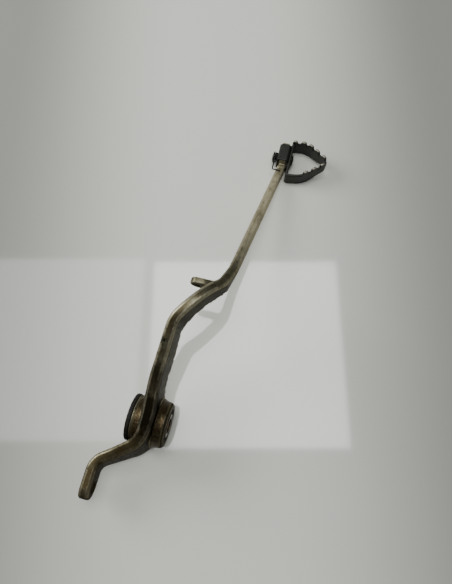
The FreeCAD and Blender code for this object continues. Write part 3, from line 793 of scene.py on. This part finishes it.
def spring_tab(plate):
    """Flat tab with a round end, rounded edges and the hole for the return spring's hook."""
    top, bottom, end_r = TAB_Z + TAB_H / 2, TAB_Z - TAB_H / 2, TAB_H / 2 - 0.05
    outline = corner_path([(TAB_END_Y, top, end_r), (TAB_ROOT_Y, top, 0), (TAB_ROOT_Y, bottom, 0),
                           (TAB_END_Y, bottom, end_r)], 0.35, closed=True)
    away = outline - np.array([TAB_END_Y - 8, TAB_Z])
    away /= np.linalg.norm(away, axis=1)[:, None]
    levels = [(TAB_X + TAB_EDGE_R * (1 - math.cos(t)), TAB_EDGE_R * (1 - math.sin(t)))
              for t in np.linspace(0, math.pi / 2, 6)]
    levels += [(2 * TAB_X + TAB_T - x, inset) for x, inset in levels[::-1]]
    loops = []
    for x, inset in levels:
        drawn = outline - away * inset
        loops.append(np.stack([np.full(len(drawn), x), drawn[:, 0], drawn[:, 1]], 1))
    tab = piece("spring_tab", *skin(loops))
    hole_y, flare, sides = TAB_END_Y - TAB_H / 2, TAB_HOLE_R + 1.2, 40
    angles = np.arange(sides) * TAU / sides
    drill = [np.stack([np.full(sides, x), hole_y + radius * np.cos(angles),
                       TAB_Z + radius * np.sin(angles)], 1)
             for x, radius in ((TAB_X - 1, flare), (TAB_X + 0.5, TAB_HOLE_R),
                               (TAB_X + TAB_T - 0.5, TAB_HOLE_R), (TAB_X + TAB_T + 1, flare))]
    combined(tab, piece("drill", *skin(drill)), "DIFFERENCE")
    tab.data.polygons.foreach_set("use_smooth", [True] * len(tab.data.polygons))
    mark_wear(tab, TAB_EDGE_R, spread=2)
    dress(tab, plate)
    return tab


def cleat_loop(enamel):
    """The bent band with its row of rounded cogs."""
    outer = corner_path(LOOP_PLAN, 0.2, closed=True)
    outer = np.concatenate([outer, outer[:1]])
    length = path_length(outer)
    count = int(length / LOOP_STEP)
    distances = np.arange(count) * length / count
    lap = 20                             # samples repeated past the seam, so that it has a direction
    spots, ways = walk(np.concatenate([outer[-lap:-1], outer, outer[1:lap]]),
                       distances + path_length(outer[-lap:]))
    lefts = np.stack([-ways[:, 1], ways[:, 0]], 1)
    middles = spots - lefts * BAND_T / 2
    chance = np.random.RandomState(SEED + 2)
    centres = np.array([distances[np.hypot(*(middles - spot).T).argmin()] for spot in TOOTH_SPOTS])
    tall = TOOTH_H * chance.uniform(0.92, 1.0, len(TOOTH_SPOTS))
    rings = []
    for distance, middle, left in zip(distances, middles, lefts):
        gap = abs((distance - centres + length / 2) % length - length / 2)
        rise = np.sqrt(np.clip(1 - (gap / TOOTH_HALF_W) ** 2, 0, 1))
        skirt = np.clip(1 - gap / (TOOTH_HALF_W + TOOTH_SKIRT), 0, 1) ** 2
        top = LOOP_TOP + (tall * np.maximum(rise * rise * (3 - 2 * rise), skirt * 0.9)).max()
        lift = np.clip((LOOP_RISE_Y - middle[1]) / (LOOP_RISE_Y - LOOP_FAR_Y), 0, 1) * LOOP_RISE
        ring = rounded_section(BAND_T / 2, LOOP_BOTTOM + lift, top, BAND_EDGE_R,
                               corner_steps=4, side_steps=9)
        rings.append(np.stack([middle[0] + ring[:, 0] * left[0], middle[1] + ring[:, 0] * left[1],
                               ring[:, 1]], 1))
    loop = piece("cleat_loop", *skin(rings, closed=True))
    mark_wear(loop, 0.7, spread=2)
    dress(loop, enamel)
    return loop


def step_bracket(enamel):
    """Sheet folded over the tongue: a web with round front corners and two cheeks."""
    half = SHEET / 2
    outboard, inboard, web = CHEEK_OUT_Y + half, CHEEK_IN_Y - half, WEB_TOP - half
    section = corner_path([(outboard, CHEEK_BOTTOM, 0), (outboard, web, WEB_BEND),
                           (inboard, web, WEB_BEND), (inboard, CHEEK_BOTTOM, 0)], 0.25)
    spots, ways = walk(section, np.linspace(0, path_length(section), 90))
    outline = corner_path([
        (CHANNEL_REAR, WEB_TOP + 0.1, 2.2), (CHANNEL_FRONT, WEB_TOP + 0.1, 1.2),
        (CHANNEL_FRONT, CHEEK_BOTTOM, 3.0), (CHANNEL_REAR, CHEEK_BOTTOM, 4.5)], 0.2, closed=True)
    following = np.roll(outline, -1, axis=0)
    rings = []
    for spot, way in zip(spots, ways):
        z = min(max(spot[1], CHEEK_BOTTOM + 0.05), web)
        crossing = (outline[:, 1] > z) != (following[:, 1] > z)
        before, after = outline[crossing], following[crossing]
        share = (z - before[:, 1]) / (after[:, 1] - before[:, 1])
        xs = before[:, 0] + (after[:, 0] - before[:, 0]) * share
        rear, front = xs.min(), xs.max()
        from_side = min(CHEEK_IN_Y - spot[0], spot[0] - CHEEK_OUT_Y)
        if spot[1] > web - WEB_BEND:
            front -= rim_inset(max(from_side - half, 0), WEB_CORNER_R) * 0.9
            rear = max(rear, WEB_REAR)
        out = np.array([-way[1], way[0]])
        cross = [(x, half - rim_inset(min(x - rear, front - x), 0.5))
                 for x in np.linspace(rear, front, 40)]
        upper = [(x, *(spot + out * lift)) for x, lift in cross]
        lower = [(x, *(spot - out * lift)) for x, lift in cross[::-1]]
        rings.append(np.array(upper + lower))
    bracket = piece("step_bracket", *skin(rings))
    mark_wear(bracket, 0.8, spread=2)
    dress(bracket, enamel)
    return bracket


def step_pin(steel):
    """Pin with a domed head inboard and a peened end outboard."""
    head_y = CHEEK_IN_Y + 2.5
    rivet_y = CHEEK_OUT_Y - BAND_T - 0.5
    pin = turned("step_pin", [
        (head_y + 1.8, 0, 0), (head_y + 1.75, 1.6, 2.0), (head_y + 1.0, 4.3, 1.0), (head_y, 4.6, 0.3),
        (head_y, PIN_R, 0.1), (rivet_y, PIN_R, 0.1), (rivet_y, 4.0, 0.3), (rivet_y - 0.8, 3.6, 0.8),
        (rivet_y - 1.28, 1.6, 1.5), (rivet_y - 1.3, 0, 0)], PIN_X, PIN_Z, segments=64)
    mark_wear(pin, 0.8, spread=2)
    dress(pin, steel)
    return pin


def pin_washer(steel):
    """Washer between the band and the pin's peened end."""
    y = CHEEK_OUT_Y - BAND_T
    washer = turned("pin_washer", [(y - 0.5, PIN_R, 0), (y - 0.5, 4.6, 0.2), (y, 4.6, 0.1),
                                   (y, PIN_R, 0)], PIN_X, PIN_Z, segments=64)
    dress(washer, steel)
    return washer


def tube(name, route, radius, sides=12):
    """A round wire along a route of points in millimetres, its ends closed."""
    spots = np.array(route)
    ways = np.gradient(spots, axis=0)
    ways /= np.linalg.norm(ways, axis=1)[:, None]
    out = np.array([0.0, 0.0, 1.0])
    rings = []
    for spot, way in zip(spots, ways):
        out = out - way * out.dot(way)
        out /= np.linalg.norm(out)
        across = np.cross(way, out)
        angles = np.arange(sides)[:, None] * TAU / sides
        rings.append(spot + radius * (np.cos(angles) * out + np.sin(angles) * across))
    return piece(name, *skin(rings))


def step_spring(wire):
    """Torsion spring: its front end sits in the bracket's cheek and its rear leg hooks over the bar."""
    first_y = CHEEK_IN_Y + SPRING_WIRE_R + 0.15
    last_y = first_y + SPRING_PITCH * SPRING_TURNS
    route = [(PIN_X + SPRING_R, y, PIN_Z) for y in np.linspace(CHEEK_IN_Y - 1.2, first_y - 0.3, 5)]
    for turn in np.linspace(0.02, SPRING_TURNS, 72):
        route.append((PIN_X + SPRING_R * math.cos(turn * TAU), first_y + SPRING_PITCH * turn,
                      PIN_Z + SPRING_R * math.sin(turn * TAU)))
    for part in np.linspace(0.04, 0.96, 24):
        route.append((PIN_X + (SPRING_LEG_X - PIN_X) * part, last_y,
                      PIN_Z + SPRING_R + (SPRING_LEG_Z - PIN_Z - SPRING_R) * part))
    for part in np.linspace(0.08, 1, 12):
        route.append((SPRING_LEG_X, last_y + (STEP_Y - last_y) * part, SPRING_LEG_Z))
    spring = tube("step_spring", route, SPRING_WIRE_R)
    dress(spring, wire)
    return spring


# ---- Stage ------------------------------------------------------------------------------------

def stage():
    """The table under the step, the room's light and the camera."""
    floor_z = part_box("cleat_loop")[0].z
    mesh = bpy.data.meshes.new("table_top")
    corners = [(x * TABLE_HALF, y * TABLE_HALF, floor_z)
               for x, y in ((-1, -1), (1, -1), (1, 1), (-1, 1))]
    mesh.from_pydata(corners, [], [(0, 1, 2, 3)])
    floor = bpy.data.objects.new("table_top", mesh)
    bpy.context.scene.collection.objects.link(floor)
    dress(floor, laminate_table())

    world = bpy.data.worlds.new("soft_room")
    world.use_nodes = True
    fill(world.node_tree, world.node_tree.nodes["Background"],
         {"Color": linear(ROOM_LIGHT), "Strength": ROOM_POWER})
    bpy.context.scene.world = world

    across = Vector(ACROSS).normalized()
    for name, place, aim, size, power, spread in LIGHTS:
        light = bpy.data.lights.new(name, "AREA")
        light.shape = "RECTANGLE"
        light.size, light.size_y = size
        light.energy = power
        light.spread = spread
        lamp = bpy.data.objects.new(name, light)
        bpy.context.scene.collection.objects.link(lamp)
        back = (Vector(place) - Vector(aim)).normalized()
        side = (across - back * across.dot(back)).normalized()
        turn = Matrix((side, back.cross(side), back)).transposed().to_4x4()
        lamp.matrix_world = Matrix.Translation(place) @ turn

    view = bpy.data.cameras.new("camera")
    view.lens = CAMERA_LENS
    view.sensor_width = 36
    view.clip_start = 0.01
    camera = bpy.data.objects.new("camera", view)
    bpy.context.scene.collection.objects.link(camera)
    right, up = Vector(CAMERA_RIGHT), Vector(CAMERA_UP)
    turn = Matrix((right, up, right.cross(up))).transposed().to_4x4()
    camera.matrix_world = Matrix.Translation(CAMERA_AT) @ turn
    bpy.context.scene.camera = camera


def build():
    """Makes every piece and puts it in its node's place, on its node's body, save the spring, which
    stays on no body.
    """
    plate, weld, bronze = stained_zinc_plate(), weld_steel(), sintered_bronze()
    steel, rubber, enamel = ground_steel(), nitrile_rubber(), worn_black_enamel()
    dark_steel, wire = blackened_pin_steel(), spring_wire()
    beads = bead_tree(weld)

    made = [
        (pedal_arm(plate), "pedal", "arm_plate", "pedal_arm"),
        (pivot_boss(plate), "pedal", "arm_plate", "pivot_boss"),
        (spring_tab(plate), "pedal", "arm_plate", "spring_tab"),
        (pivot_collar(steel), "collar", "collar", "pivot_collar"),
        (dust_seal_inboard(rubber), "pedal", "seal", "dust_seal_inboard"),
        (dust_seal_outboard(rubber), "pedal", "seal", "dust_seal_outboard"),
        (cleat_loop(enamel), "toe_step", "step_paint", "cleat_loop"),
        (step_bracket(enamel), "toe_step", "step_paint", "step_bracket"),
        (step_pin(dark_steel), "toe_step", "pin", "step_pin"),
        (pin_washer(dark_steel), "toe_step", "pin", "pin_washer"),
    ]
    for name, side in (("boss_weld_inboard", 1), ("boss_weld_outboard", -1)):
        made.append((boss_weld(name, side, weld), "pedal", "weld", name))
    low, high = (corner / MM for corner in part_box("tab_weld"))
    path = [(TAB_X - 0.1, high.y - 1.3, z) for z in (low.z + 1.2, high.z - 1.2)]
    made.append((weld_bead("tab_weld", beads, path, coin_mm=1.5, pitch_mm=0.9),
                 "pedal", "weld", "tab_weld"))
    for name in ("loop_weld_front", "loop_weld_rear"):
        low, high = (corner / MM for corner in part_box(name))
        path = [((low.x + high.x) / 2, (low.y + high.y) / 2, z) for z in (low.z, high.z)]
        bead = weld_bead(name, beads, path, coin_mm=0.75, pitch_mm=0.6)
        dress(bead, enamel)
        made.append((bead, "toe_step", "step_paint", name))

    for thing, body, slot, node in made:
        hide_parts(node)
        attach(thing, body)

    for node in ("pivot_bush_inboard", "pivot_bush_outboard"):
        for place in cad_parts[node].material_slots:
            place.material = bronze
    spring = step_spring(wire)
    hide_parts("step_spring")
    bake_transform(spring)


build()
stage()
